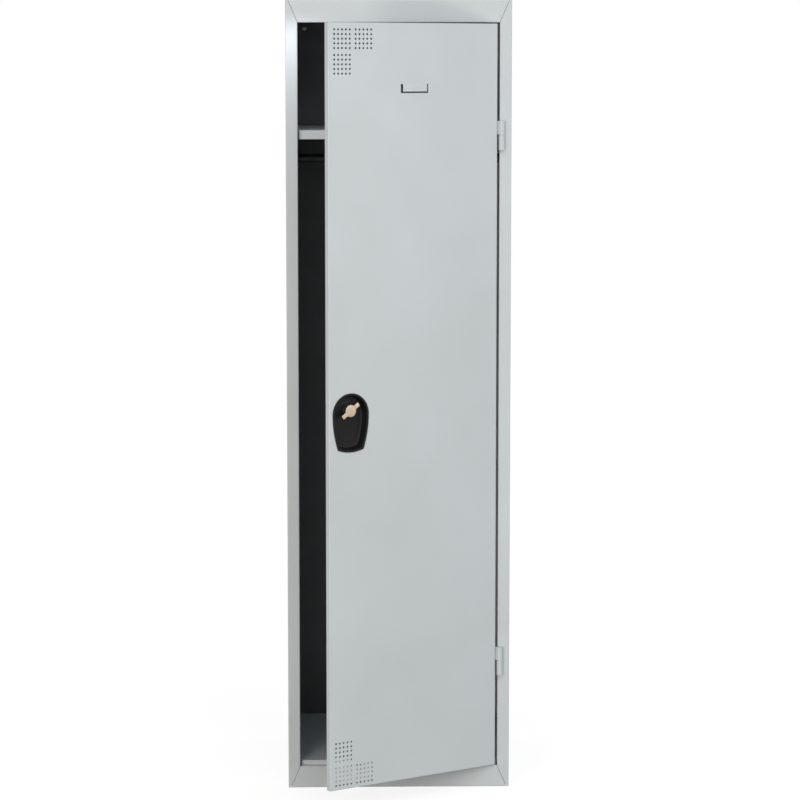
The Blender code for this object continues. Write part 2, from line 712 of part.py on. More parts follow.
def cup_side(head, foot_half, corner):
    """Points down one side of the handle, which leaves the head straight and curves in to the foot."""
    ends = (head, 0.0), (head, -CUP_SIDE_STRAIGHT), (foot_half, corner)
    points = []
    for i in range(1, CUP_SIDE_STEPS):
        t = i / CUP_SIDE_STEPS
        shares = (1 - t) ** 2, 2 * t * (1 - t), t ** 2
        points.append([sum(share * end[k] for share, end in zip(shares, ends)) for k in (0, 1)])
    return points


def cup_outline(inset):
    """Handle outline about the latch, drawn in by inset: round head, tapering sides, bowed foot."""
    head = CUP_RADIUS - inset
    foot_half = CUP_FOOT_HALF - inset
    corner = CUP_SAG + inset - CUP_DROP
    bow = (foot_half ** 2 + CUP_SAG ** 2) / (2 * CUP_SAG)
    spread = math.degrees(math.asin(foot_half / bow))
    side = cup_side(head, foot_half, corner)
    points = arc((0.0, 0.0), head, 0.0, 180.0, 2 * ARC_STEPS)
    points += [(-x, y) for x, y in side]
    points += arc((0.0, corner - CUP_SAG + bow), bow, 270.0 - spread, 270.0 + spread, ARC_STEPS // 2)
    points += side[::-1]
    return [(x, y - CUP_BELOW_LATCH) for x, y in points]


def cup_cutter(door):
    """Opening in the door skin for the body of the handle cup."""
    outline = cup_outline(CUP_RIM - CUP_WALL - SEAT_GAP)
    cutter = helper("cup_opening", prism("cup_opening", outline, -DOOR_THICK / 2, DOOR_THICK / 2), door)
    cutter.location = (LATCH_X, FRONT, LATCH_HEIGHT)
    cutter.rotation_euler = (math.radians(90.0), 0.0, 0.0)
    return cutter


def build_handle_cup(face):
    """Moulded cup: rim on the skin, drafted walls, floor, and a bored boss under the latch."""
    rim = SEAT_GAP + CUP_WALL
    steps = ((0.0, rim), (CUP_RIM, rim), (CUP_RIM + CUP_DRAFT, -CUP_DEPTH))
    bm = bmesh.new()
    loops = []
    for inset, height in steps:
        verts = [bm.verts.new((x, y, height)) for x, y in cup_outline(inset)]
        loops.append([bm.edges.new(pair) for pair in zip(verts, verts[1:] + verts[:1])])
    for outer, inner in zip(loops, loops[1:]):
        bmesh.ops.bridge_loops(bm, edges=outer + inner)
    bmesh.ops.contextual_create(bm, geom=loops[-1])
    bmesh.ops.recalc_face_normals(bm, faces=bm.faces)
    floor = min(bm.faces, key=lambda side: side.calc_center_median().z)
    if floor.normal.z < 0.0:
        bmesh.ops.reverse_faces(bm, faces=bm.faces)
    cup = piece("handle_cup", to_mesh("handle_cup", bm), BLACK_PLASTIC, face)
    shell = cup.modifiers.new("wall", "SOLIDIFY")
    shell.thickness = CUP_WALL
    shell.offset = -1.0
    shell.use_even_offset = True
    shell.use_quality_normals = True
    boss = prism("cup_boss", circle(BOSS_RADIUS), -CUP_DEPTH - CUP_WALL / 2, -BOSS_BELOW_FACE)
    bore = prism("cup_bore", circle(BUSH_RADIUS + SEAT_GAP), -2 * CUP_BACK, CUP_DEPTH)
    combine(cup, helper("cup_boss", boss, face), "UNION")
    combine(cup, helper("cup_bore", bore, face), "DIFFERENCE")


def build_latch_bush(face):
    """Bush with a tall collar under the knob, and the hexagon nut that holds it behind the cup."""
    seat = -BOSS_BELOW_FACE + SEAT_GAP
    profile = [
        (SPINDLE_BORE, seat + BUSH_COLLAR),
        (BUSH_COLLAR_RADIUS, seat + BUSH_COLLAR),
        (BUSH_COLLAR_RADIUS, seat),
        (BUSH_RADIUS, seat),
        (BUSH_RADIUS, -CAM_FRONT + SEAT_GAP),
        (SPINDLE_BORE, -CAM_FRONT + SEAT_GAP),
    ]
    turn(piece("latch_bush", turned("latch_bush", profile, ring=True), ZINC, face))
    outlines = [circle(BUSH_NUT_RADIUS, 6), circle(BUSH_RADIUS + SEAT_GAP)]
    nut = flat_curve("bush_nut", outlines, BUSH_NUT_THICK)
    piece("bush_nut", nut, ZINC, face, (0.0, 0.0, -CUP_BACK - SEAT_GAP - BUSH_NUT_THICK / 2))


def build_latch(turner):
    """Knob with its bar and spindle, and the cam, washer and nut that turn with it behind the door."""
    rear = -BOSS_BELOW_FACE + BUSH_COLLAR + 2 * SEAT_GAP
    washer_front = CAM_FRONT + CAM_THICK + SEAT_GAP
    nut_front = washer_front + CAM_WASHER_THICK + SEAT_GAP
    tail = nut_front + CAM_NUT_THICK + SPINDLE_END
    profile = [
        (0.0, rear + KNOB_THICK),
        (KNOB_RADIUS - KNOB_EDGE, rear + KNOB_THICK),
        (KNOB_RADIUS, rear + KNOB_THICK - KNOB_EDGE),
        (KNOB_RADIUS, rear),
        (SPINDLE_RADIUS, rear),
        (SPINDLE_RADIUS, -tail),
        (0.0, -tail),
    ]
    knob = piece("latch_knob", turned("latch_knob", profile), NICKEL, turner)
    turn(knob, 2 * ROUND_STEPS)
    low = (-BAR_LENGTH / 2, -BAR_WIDTH / 2, rear + KNOB_EDGE)
    high = (BAR_LENGTH / 2, BAR_WIDTH / 2, rear + BAR_THICK)
    bar = helper("knob_bar", boxes("knob_bar", (low, high)), turner)
    soft = bar.modifiers.new("edges", "BEVEL")
    soft.width = BAR_EDGE
    soft.segments = 2
    combine(knob, bar, "UNION")
    tip = CAM_REACH - CAM_TIP_HALF
    arm = arc((0.0, 0.0), CAM_HALF, 180.0, 360.0, ARC_STEPS)
    arm += arc((0.0, tip), CAM_TIP_HALF, 0.0, 180.0, ARC_STEPS)
    cam = flat_curve("latch_cam", [arm, circle(SPINDLE_BORE)], CAM_THICK)
    piece("latch_cam", cam, ZINC, turner, (0.0, 0.0, -CAM_FRONT - CAM_THICK / 2))
    washer = flat_curve("cam_washer", [circle(CAM_WASHER_RADIUS), circle(SPINDLE_BORE)], CAM_WASHER_THICK)
    piece("cam_washer", washer, ZINC, turner, (0.0, 0.0, -washer_front - CAM_WASHER_THICK / 2))
    nut = flat_curve("cam_nut", [circle(CAM_NUT_RADIUS, 6), circle(SPINDLE_BORE)], CAM_NUT_THICK)
    piece("cam_nut", nut, ZINC, turner, (0.0, 0.0, -nut_front - CAM_NUT_THICK / 2))


def build_locker():
    """Build the fixed carcass, then the door on its hinge axis and the latch on the door."""
    build_side_panels()
    build_back_panel()
    build_top_panel()
    build_bottom_panel()
    build_door_buffers()
    build_hat_shelf()
    build_hanging_rail()
    build_coat_hooks()
    pivot = empty("door_pivot", (HINGE_X, HINGE_Y, 0.0), (0.0, 0.0, DOOR_OPEN))
    door = empty("door_frame", (-HINGE_X, -HINGE_Y, 0.0), parent=pivot)
    build_door_panel(door)
    build_door_stiffener(door)
    build_label_pocket(door)
    build_hinges(door)
    face = empty("latch_face", (LATCH_X, FRONT, LATCH_HEIGHT), (math.radians(90.0), 0.0, 0.0), door)
    build_handle_cup(face)
    build_latch_bush(face)
    turner = empty("latch_pivot", (0.0, 0.0, 0.0), (0.0, 0.0, LATCH_TURN), face)
    build_latch(turner)


build_locker()
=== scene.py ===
"""Looks of a steel clothing locker: its finishes, rounded fittings, studio and camera.

Lengths are in metres in the part's own frame: +X to the right, +Y to the back, +Z up.
"""

from __future__ import annotations

import json
import logging
import math
from collections.abc import Iterable, Sequence
from dataclasses import dataclass, field
from enum import Enum
from typing import Any

import bmesh
import bpy
from mathutils import Matrix, Vector

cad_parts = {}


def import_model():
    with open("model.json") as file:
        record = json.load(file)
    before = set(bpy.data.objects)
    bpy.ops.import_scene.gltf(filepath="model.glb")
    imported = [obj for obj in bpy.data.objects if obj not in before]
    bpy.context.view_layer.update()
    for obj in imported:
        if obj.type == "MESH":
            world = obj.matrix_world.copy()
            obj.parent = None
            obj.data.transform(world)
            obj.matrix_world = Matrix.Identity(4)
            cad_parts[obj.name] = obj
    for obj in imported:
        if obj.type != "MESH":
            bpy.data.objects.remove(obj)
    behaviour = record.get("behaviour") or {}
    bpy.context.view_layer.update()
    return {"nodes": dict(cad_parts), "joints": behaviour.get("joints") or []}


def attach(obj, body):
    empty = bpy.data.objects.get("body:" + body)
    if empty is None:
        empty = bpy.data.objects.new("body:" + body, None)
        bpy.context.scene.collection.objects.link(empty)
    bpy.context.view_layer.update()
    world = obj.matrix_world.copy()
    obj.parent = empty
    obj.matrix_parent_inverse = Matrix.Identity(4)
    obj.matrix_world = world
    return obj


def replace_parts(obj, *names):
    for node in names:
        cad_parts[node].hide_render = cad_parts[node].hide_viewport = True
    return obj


LOG = logging.getLogger("clothing_locker")
MM_PER_METRE = 1000.0

# Most of a noise lies between these two values, which are stretched to the whole range of what it varies.
NOISE_LOW = 0.3
NOISE_HIGH = 0.7

# The mix node has a socket of each name for every kind of data, so those for colour go by their place.
MIX_SHARE = 0
MIX_FIRST = 6
MIX_SECOND = 7
MIX_RESULT = 2

# Strength at which a background or a glow renders as white.
WHITE = 1.0
# Bevel profile of a quarter circle.
ROUND = 0.5

Point = tuple[float, float]
Ring = list[Vector]
Nodes = dict[str, bpy.types.Object]
Node = bpy.types.Node
Socket = bpy.types.NodeSocket
Tree = bpy.types.NodeTree


class Side(Enum):
    """Side of the locker, as seen from the front, with its sign along X."""

    LEFT = -1
    RIGHT = 1


class Axis(Enum):
    """Axis of the part, with its place in a vector."""

    X = 0
    Y = 1
    Z = 2


class Octaves(Enum):
    """How ragged a noise is, by the octaves of finer noise in it."""

    SMOOTH = 1.0
    SOFT = 2.0
    RAGGED = 3.0


def linear(code: str) -> tuple[float, float, float, float]:
    """Turn an sRGB hex colour into linear light by sRGB's own curve.

    Args:
        code: Colour such as "#C9CED0".

    Returns:
        Red, green, blue and alpha.
    """
    channels = [int(code[i : i + 2], 16) / 255.0 for i in (1, 3, 5)]
    red, green, blue = (c / 12.92 if c <= 0.04045 else ((c + 0.055) / 1.055) ** 2.4 for c in channels)
    return red, green, blue, 1.0


def per_metre(size_mm: float) -> float:
    """Return the texture scale at which one feature is size_mm wide."""
    return MM_PER_METRE / size_mm


def add_node(
    tree: Tree,
    kind: str,
    settings: dict[str, object] | None = None,
    inputs: dict[str | int, object] | None = None,
) -> Node:
    """Add a shader node with its settings and links.

    Args:
        tree: Node tree that gets the node.
        kind: Blender's class name of the node.
        settings: Values of the node's own properties.
        inputs: For each input, a value or the socket that is linked to it.

    Returns:
        The new node.
    """
    node = tree.nodes.new(kind)
    for key, value in (settings or {}).items():
        setattr(node, key, value)
    for key, value in (inputs or {}).items():
        if isinstance(value, Socket):
            tree.links.new(value, node.inputs[key])
        else:
            node.inputs[key].default_value = value
    return node


@dataclass(frozen=True)
class Finish:
    """A finish of one material with two shades, made on first use and shared by its pieces."""

    name: str
    colour: str
    roughness: float
    metallic: float = 0.0
    specular: float = 0.5
    transmission: float = 0.0
    shade: str = "#808080"

    def material(self) -> bpy.types.Material:
        """Return the finish's material.

        Returns:
            The material with its base values and its pattern.
        """
        made = bpy.data.materials.get(self.name)
        if made is None:
            made = bpy.data.materials.new(self.name)
            made.use_nodes = True
            tree = made.node_tree
            shader = tree.nodes["Principled BSDF"]
            shader.inputs["Base Color"].default_value = linear(self.colour)
            shader.inputs["Roughness"].default_value = self.roughness
            shader.inputs["Metallic"].default_value = self.metallic
            shader.inputs["Specular IOR Level"].default_value = self.specular
            shader.inputs["Transmission Weight"].default_value = self.transmission
            place = add_node(tree, "ShaderNodeTexCoord").outputs["Object"]
            self.pattern(tree, shader, place)
        return made

    def pattern(self, tree: Tree, shader: Node, place: Socket) -> None:
        """Link the finish's own detail to the shader.

        Args:
            tree: Node tree of the material.
            shader: Its Principled node.
            place: Position on the part, in metres.
        """
        raise NotImplementedError

    def drifting(self, tree: Tree, noise: Socket) -> Socket:
        """Return a colour that drifts between the finish's two shades with a noise.

        Args:
            tree: Node tree of the material.
            noise: Noise of about 0 to 1.

        Returns:
            The colour.
        """
        stretch = {"Value": noise, "From Min": NOISE_LOW, "From Max": NOISE_HIGH}
        share = add_node(tree, "ShaderNodeMapRange", inputs=stretch).outputs["Result"]
        shades = {MIX_SHARE: share, MIX_FIRST: linear(self.shade), MIX_SECOND: linear(self.colour)}
        return add_node(tree, "ShaderNodeMix", {"data_type": "RGBA"}, shades).outputs[MIX_RESULT]

    def vary_gloss(self, tree: Tree, shader: Node, noise: Socket, smoother: float, rougher: float) -> None:
        """Let the roughness swing about its plain value with a noise.

        Args:
            tree: Node tree of the material.
            shader: Its Principled node.
            noise: Noise of about 0 to 1.
            smoother: How far the roughness falls where the noise is low.
            rougher: How far it rises where the noise is high.
        """
        stretch = {
            "Value": noise,
            "From Min": NOISE_LOW,
            "From Max": NOISE_HIGH,
            "To Min": self.roughness - smoother,
            "To Max": self.roughness + rougher,
        }
        swing = add_node(tree, "ShaderNodeMapRange", inputs=stretch).outputs["Result"]
        tree.links.new(swing, shader.inputs["Roughness"])


@dataclass(frozen=True)
class WeldRow:
    """Rows of spot welds: lines at fixed places across one axis, with welds at a pitch along another."""

    across: Axis
    lines: tuple[float, ...]
    along: Axis
    pitch: float
    mark_mm: float = 6.0
    flat_share: float = 0.5

    def dimples(self, tree: Tree, place: Socket) -> Socket:
        """Return a height that dips to 0 in each weld mark.

        Args:
            tree: Node tree of the material.
            place: Position on the part, in metres.

        Returns:
            Height of 1 on the plain sheet and 0 in a mark.
        """
        parts = add_node(tree, "ShaderNodeSeparateXYZ", inputs={"Vector": place}).outputs
        offset: Socket | None = None
        for line in self.lines:
            ends = {0: parts[self.across.value], 1: line}
            away = add_node(tree, "ShaderNodeMath", {"operation": "SUBTRACT"}, ends).outputs[0]
            gap = add_node(tree, "ShaderNodeMath", {"operation": "ABSOLUTE"}, {0: away}).outputs[0]
            if offset is not None:
                both = {0: offset, 1: gap}
                gap = add_node(tree, "ShaderNodeMath", {"operation": "MINIMUM"}, both).outputs[0]
            offset = gap
        step = {0: parts[self.along.value], 1: self.pitch / 2}
        along = add_node(tree, "ShaderNodeMath", {"operation": "PINGPONG"}, step).outputs[0]
        flat = add_node(tree, "ShaderNodeCombineXYZ", inputs={"X": offset, "Y": along}).outputs[0]
        reach = add_node(tree, "ShaderNodeVectorMath", {"operation": "LENGTH"}, {0: flat}).outputs["Value"]
        radius = self.mark_mm / 2 / MM_PER_METRE
        slope = {"Value": reach, "From Min": radius * self.flat_share, "From Max": radius}
        ramp = add_node(tree, "ShaderNodeMapRange", {"interpolation_type": "SMOOTHSTEP"}, slope)
        return ramp.outputs["Result"]


@dataclass(frozen=True)
class PowderCoat(Finish):
    """Polyester powder coat sprayed on steel sheet and stoved.

    The film flows out to a satin skin with fine orange peel, and its shade drifts a little over a panel.
    """

    shade: str = "#C0C7CA"
    drift_mm: float = 240.0
    haze_mm: float = 40.0
    gloss_swing: float = 0.04
    # Orange peel is about 1.5 mm wide and is drawn a little coarser, so that it shows in a close view.
    peel_mm: float = 2.4
    peel_depth_mm: float = 0.06
    peel_strength: float = 0.25
    welds: tuple[WeldRow, ...] = ()
    weld_depth_mm: float = 0.25
    weld_strength: float = 0.8

    def coat_colour(self, tree: Tree, place: Socket) -> Socket:
        """Return the colour of the coat, which drifts over a panel.

        Args:
            tree: Node tree of the material.
            place: Position on the part, in metres.

        Returns:
            The colour.
        """
        broad = {"Vector": place, "Scale": per_metre(self.drift_mm), "Detail": Octaves.SOFT.value}
        drift = add_node(tree, "ShaderNodeTexNoise", inputs=broad).outputs["Fac"]
        return self.drifting(tree, drift)

    def pattern(self, tree: Tree, shader: Node, place: Socket) -> None:
        """Link the coat's colour, hazy gloss, spot welds and orange peel to the shader.

        Args:
            tree: Node tree of the material.
            shader: Its Principled node.
            place: Position on the part, in metres.
        """
        tree.links.new(self.coat_colour(tree, place), shader.inputs["Base Color"])
        cloudy = {"Vector": place, "Scale": per_metre(self.haze_mm), "Detail": Octaves.RAGGED.value}
        haze = add_node(tree, "ShaderNodeTexNoise", inputs=cloudy).outputs["Fac"]
        self.vary_gloss(tree, shader, haze, self.gloss_swing, self.gloss_swing)
        under: dict[str | int, object] = {}
        for row in self.welds:
            marks = {
                "Height": row.dimples(tree, place),
                "Distance": self.weld_depth_mm / MM_PER_METRE,
                "Strength": self.weld_strength,
            }
            dented = add_node(tree, "ShaderNodeBump", inputs=marks | under)
            under = {"Normal": dented.outputs["Normal"]}
        fine = {"Vector": place, "Scale": per_metre(self.peel_mm), "Detail": Octaves.SMOOTH.value}
        peel = {
            "Height": add_node(tree, "ShaderNodeTexNoise", inputs=fine).outputs["Fac"],
            "Distance": self.peel_depth_mm / MM_PER_METRE,
            "Strength": self.peel_strength,
        }
        skin = add_node(tree, "ShaderNodeBump", inputs=peel | under)
        tree.links.new(skin.outputs["Normal"], shader.inputs["Normal"])


@dataclass(frozen=True)
class PaintedShadeInsideCoat(PowderCoat):
    """Powder coat whose inner side of the back sheet is painted shade in dark grey, and whose outer side has
    another colour.
    """

    outer: PowderCoat = field(kw_only=True)
    sheet_middle: float = 0.4895

    def coat_colour(self, tree: Tree, place: Socket) -> Socket:
        """Return the coat's own colour, which is painted shade, in front of the middle of the sheet and the
        outer one behind it.

        Args:
            tree: Node tree of the material.
            place: Position on the part, in metres.

        Returns:
            The colour.
        """
        # The inner colour is painted shade: a dark grey that stands in for the shade inside the locker.
        inside = super().coat_colour(tree, place)
        outside = self.outer.coat_colour(tree, place)
        depth = add_node(tree, "ShaderNodeSeparateXYZ", inputs={"Vector": place}).outputs[Axis.Y.value]
        ends = {0: depth, 1: self.sheet_middle}
        behind = add_node(tree, "ShaderNodeMath", {"operation": "GREATER_THAN"}, ends).outputs[0]
        sides = {MIX_SHARE: behind, MIX_FIRST: inside, MIX_SECOND: outside}
        return add_node(tree, "ShaderNodeMix", {"data_type": "RGBA"}, sides).outputs[MIX_RESULT]


@dataclass(frozen=True)
class MouldedPlastic(Finish):
    """Injection-moulded plastic from a spark-eroded tool: an even, fine grain that breaks up the gloss."""

    shade: str = "#151516"
    flow_mm: float = 30.0
    # The grain of such a tool is a few tenths of a millimetre wide and is made coarser here, to show.
    grain_mm: float = 0.9
    grain_depth_mm: float = 0.05
    grain_strength: float = 0.5
    gloss_swing: float = 0.06

    def pattern(self, tree: Tree, shader: Node, place: Socket) -> None:
        """Link the grain, a faint flow of shade and an uneven gloss to the shader.

        Args:
            tree: Node tree of the material.
            shader: Its Principled node.
            place: Position on the part, in metres.
        """
        broad = {"Vector": place, "Scale": per_metre(self.flow_mm), "Detail": Octaves.SOFT.value}
        flow = add_node(tree, "ShaderNodeTexNoise", inputs=broad).outputs["Fac"]
        tree.links.new(self.drifting(tree, flow), shader.inputs["Base Color"])
        fine = {"Vector": place, "Scale": per_metre(self.grain_mm), "Detail": Octaves.SOFT.value}
        grain = add_node(tree, "ShaderNodeTexNoise", inputs=fine).outputs["Fac"]
        self.vary_gloss(tree, shader, grain, self.gloss_swing, self.gloss_swing)
        pits = {
            "Height": grain,
            "Distance": self.grain_depth_mm / MM_PER_METRE,
            "Strength": self.grain_strength,
        }
        skin = add_node(tree, "ShaderNodeBump", inputs=pits)
        tree.links.new(skin.outputs["Normal"], shader.inputs["Normal"])


@dataclass(frozen=True)
class PlatedMetal(Finish):
    """Plated metal: a bright skin with faint clouds in its colour and lines left by drawing or brushing."""

    shade: str = "#A7ACB2"
    cloud_mm: float = 25.0
    # Lines from drawing or brushing are near 0.1 mm wide and are made coarser here, so that they show.
    line_mm: float = 0.5
    line_depth_mm: float = 0.01
    line_strength: float = 0.3
    lines_along: Axis = Axis.X
    line_stretch: float = 60.0
    smoother: float = 0.06
    rougher: float = 0.08

    def pattern(self, tree: Tree, shader: Node, place: Socket) -> None:
        """Link clouds of colour and lines along one axis to the shader.

        Args:
            tree: Node tree of the material.
            shader: Its Principled node.
            place: Position on the part, in metres.
        """
        cloudy = {"Vector": place, "Scale": per_metre(self.cloud_mm), "Detail": Octaves.RAGGED.value}
        clouds = add_node(tree, "ShaderNodeTexNoise", inputs=cloudy).outputs["Fac"]
        tree.links.new(self.drifting(tree, clouds), shader.inputs["Base Color"])
        squeeze = Vector((1.0, 1.0, 1.0))
        squeeze[self.lines_along.value] = 1.0 / self.line_stretch
        squeezed = {0: place, 1: squeeze}
        drawn = add_node(tree, "ShaderNodeVectorMath", {"operation": "MULTIPLY"}, squeezed).outputs[0]
        fine = {"Vector": drawn, "Scale": per_metre(self.line_mm), "Detail": Octaves.SOFT.value}
        lines = add_node(tree, "ShaderNodeTexNoise", inputs=fine).outputs["Fac"]
        self.vary_gloss(tree, shader, lines, self.smoother, self.rougher)
        grooves = {
            "Height": lines,
            "Distance": self.line_depth_mm / MM_PER_METRE,
            "Strength": self.line_strength,
        }
        skin = add_node(tree, "ShaderNodeBump", inputs=grooves)
        tree.links.new(skin.outputs["Normal"], shader.inputs["Normal"])


@dataclass(frozen=True)
class Rubber(Finish):
    """Moulded rubber: matt, with a bloom that greys it in patches."""

    shade: str = "#262626"
    bloom_mm: float = 4.0
    bloom_depth_mm: float = 0.05
    bloom_strength: float = 0.3

    def pattern(self, tree: Tree, shader: Node, place: Socket) -> None:
        """Link the grey bloom and its faint relief to the shader.

        Args:
            tree: Node tree of the material.
            shader: Its Principled node.
            place: Position on the part, in metres.
        """
        patchy = {"Vector": place, "Scale": per_metre(self.bloom_mm), "Detail": Octaves.RAGGED.value}
        bloom = add_node(tree, "ShaderNodeTexNoise", inputs=patchy).outputs["Fac"]
        tree.links.new(self.drifting(tree, bloom), shader.inputs["Base Color"])
        patches = {
            "Height": bloom,
            "Distance": self.bloom_depth_mm / MM_PER_METRE,
            "Strength": self.bloom_strength,
        }
        skin = add_node(tree, "ShaderNodeBump", inputs=patches)
        tree.links.new(skin.outputs["Normal"], shader.inputs["Normal"])


# Flanges are welded to the walls on these lines: those of the roof, shelf and floor, and the rear flanges
# of the sides.
TRAY_WELDS = WeldRow(Axis.Z, (0.0545, 1.4995, 1.7925), Axis.Y, 0.080)
BACK_WELDS = WeldRow(Axis.X, (-0.2465, 0.2465), Axis.Z, 0.120)

# Light grey polyester powder coat, sprayed on folded steel sheet and stoved: a cool satin skin with a broad,
# soft sheen, faint orange peel, and shallow spot-weld marks where a flange lies behind the sheet.
PAINT = PowderCoat("powder_coated_steel", "#C6CED1", 0.42)
PAINT_SIDE = PowderCoat("powder_coated_steel_side", "#C6CED1", 0.42, welds=(TRAY_WELDS,))
# Dark grey on the inner side of the back sheet is painted shade, so that the locker reads dark behind its
# frame.
# The outer side has the light grey of the other sheets.
BACK_PAINTED_SHADE = PaintedShadeInsideCoat(
    "powder_coated_steel_back_painted_shade", "#5A5B5C", 0.46, shade="#545556", welds=(BACK_WELDS,), outer=PAINT
)
# Black powder coat on a drawn tube: satin, with a narrow streak of light along the tube.
PAINT_RAIL = PowderCoat("powder_coated_tube", "#1D1E20", 0.40, shade="#191A1B", haze_mm=15.0)
# Black ABS, injection-moulded in a spark-eroded tool: near black, with a dull sheen that its grain breaks.
ABS = MouldedPlastic("moulded_black_abs", "#171719", 0.32, specular=0.16, shade="#121213")
# Dark grey ABS from the same kind of tool for the holder behind the label slit: partly its own grey and
# partly painted shade, seen as a soft dark line.
SLIT_SHADE_ABS = MouldedPlastic("moulded_grey_abs_slit_shade", "#4B4C4E", 0.45, specular=0.3, shade="#454648")
# Zinc die casting, brushed and nickel-plated: a warm, even, satin metal with a lighter edge.
NICKEL = PlatedMetal("satin_nickel_plate", "#BFAF9A", 0.34, 1.0, shade="#AE9D88", cloud_mm=7.0)
# Steel with a bright zinc plate from the barrel: cool, slightly cloudy, with fine lines left by drawing.
ZINC = PlatedMetal("bright_zinc_plate", "#BFC4C9", 0.34, 1.0)
# Moulded nitrile rubber: matt black, with a grey bloom in patches.
RUBBER = Rubber("moulded_rubber", "#1C1C1C", 0.85, specular=0.3)
# Moulded nylon: milky white with a dull sheen. The plugs are unpigmented, so that some light shows through.
NYLON = MouldedPlastic("moulded_nylon", "#E2E0D8", 0.5, shade="#D8D6CD")
NATURAL_NYLON = MouldedPlastic("moulded_natural_nylon", "#DCD0BA", 0.5, shade="#D0C3AC", transmission=0.25)


def on_curve(ends: Sequence[Point], steps: int) -> list[Point]:
    """Return points on a quadratic curve.

    Args:
        ends: Start, corner that the curve bends towards, and end.
        steps: Number of spans.

    Returns:
        The points, with the start and the end.
    """
    points = []
    for i in range(steps + 1):
        t = i / steps
        shares = (1 - t) ** 2, 2 * t * (1 - t), t**2
        x, y = (sum(share * end[k] for share, end in zip(shares, ends)) for k in (0, 1))
        points.append((x, y))
    return points


def on_arc(centre: Point, radius: float, start: float, end: float, steps: int) -> list[Point]:
    """Return points on a circular arc between two angles in degrees."""
    angles = [math.radians(start + (end - start) * i / steps) for i in range(steps + 1)]
    return [(centre[0] + radius * math.cos(a), centre[1] + radius * math.sin(a)) for a in angles]


def turned_rings(profile: Iterable[Point], steps: int) -> list[Ring]:
    """Return the rings of a profile of (radius, height) points turned about Z."""
    turns = [2 * math.pi * i / steps for i in range(steps)]
    return [[Vector((r * math.cos(a), r * math.sin(a), z)) for a in turns] for r, z in profile]


def add_loft(bm: bmesh.types.BMesh, rings: Sequence[Ring], looped: bool) -> None:
    """Add a skin through rings of equally many points.

    Args:
        bm: Mesh that gets the skin.
        rings: The rings in order.
        looped: True to join the last ring to the first, False to cap both ends.
    """
    rows = [[bm.verts.new(point) for point in ring] for ring in rings]
    pairs = list(zip(rows, rows[1:]))
    if looped:
        pairs.append((rows[-1], rows[0]))
    else:
        bm.faces.new(rows[0])
        bm.faces.new(rows[-1])
    for one, two in pairs:
        for i in range(len(one)):
            j = (i + 1) % len(one)
            bm.faces.new((one[i], one[j], two[j], two[i]))
    bmesh.ops.recalc_face_normals(bm, faces=bm.faces)


def joined(first: bmesh.types.BMesh, second: bmesh.types.BMesh) -> bmesh.types.BMesh:
    """Return the union of two closed meshes.

    Args:
        first: One mesh, which is used up.
        second: The other mesh, which is used up too.

    Returns:
        The joined mesh.
    """
    shapes = []
    for bm in (first, second):
        mesh = bpy.data.meshes.new("shape")
        bm.to_mesh(mesh)
        bm.free()
        shape = bpy.data.objects.new("shape", mesh)
        bpy.context.scene.collection.objects.link(shape)
        shapes.append(shape)
    union = shapes[0].modifiers.new("union", "BOOLEAN")
    union.operation = "UNION"
    union.object = shapes[1]
    graph = bpy.context.evaluated_depsgraph_get()
    made = bmesh.new()
    made.from_object(shapes[0], graph)
    for shape in shapes:
        bpy.data.meshes.remove(shape.data)
    return made


def finish_piece(
    name: str, bm: bmesh.types.BMesh, place: Matrix, finish: Finish, body: str, crease: float = 35.0
) -> bpy.types.Object:
    """Turn a mesh into a smooth piece that rides on a body.

    Args:
        name: Name of the piece.
        bm: Its mesh, which is used up.
        place: Where the mesh goes in the part's frame.
        finish: What it is made of.
        body: Body that it moves with.
        crease: Angle in degrees from which an edge stays sharp.

    Returns:
        The piece.
    """
    bmesh.ops.transform(bm, matrix=place, verts=bm.verts)
    mesh = bpy.data.meshes.new(name)
    bm.to_mesh(mesh)
    bm.free()
    mesh.shade_smooth()
    mesh.set_sharp_from_angle(angle=math.radians(crease))
    mesh.materials.append(finish.material())
    piece = bpy.data.objects.new(name, mesh)
    bpy.context.scene.collection.objects.link(piece)
    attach(piece, body)
    LOG.info("%s: %d faces on %s", name, len(mesh.polygons), body)
    return piece


@dataclass
class DoorPlace:
    """Where the door and its latch stand at rest."""

    latch: Vector
    opened: float
    turned: float

    @classmethod
    def from_joints(cls, joints: list[dict[str, Any]]) -> DoorPlace:
        """Read the rest pose from the joints, whose low limits are the closed door and the free latch.

        Args:
            joints: The part's joints.

        Returns:
            The rest pose.
        """
        found = {joint["name"]: joint for joint in joints}
        door, latch = found["door_hinge"], found["latch_turn"]
        return cls(
            Vector(latch["pos_m"]),
            math.radians(-door["range_deg"][0]),
            math.radians(-latch["range_deg"][0]),
        )

    def face(self) -> Matrix:
        """Return the latch's place on the door: x along the door, y up, z out of it."""
        upright = Matrix.Rotation(math.radians(90.0), 4, "X")
        return Matrix.Translation(self.latch) @ Matrix.Rotation(self.opened, 4, "Z") @ upright

    def knob(self) -> Matrix:
        """Return the place of the turned knob, with x along its bar."""
        return self.face() @ Matrix.Rotation(self.turned, 4, "Z")


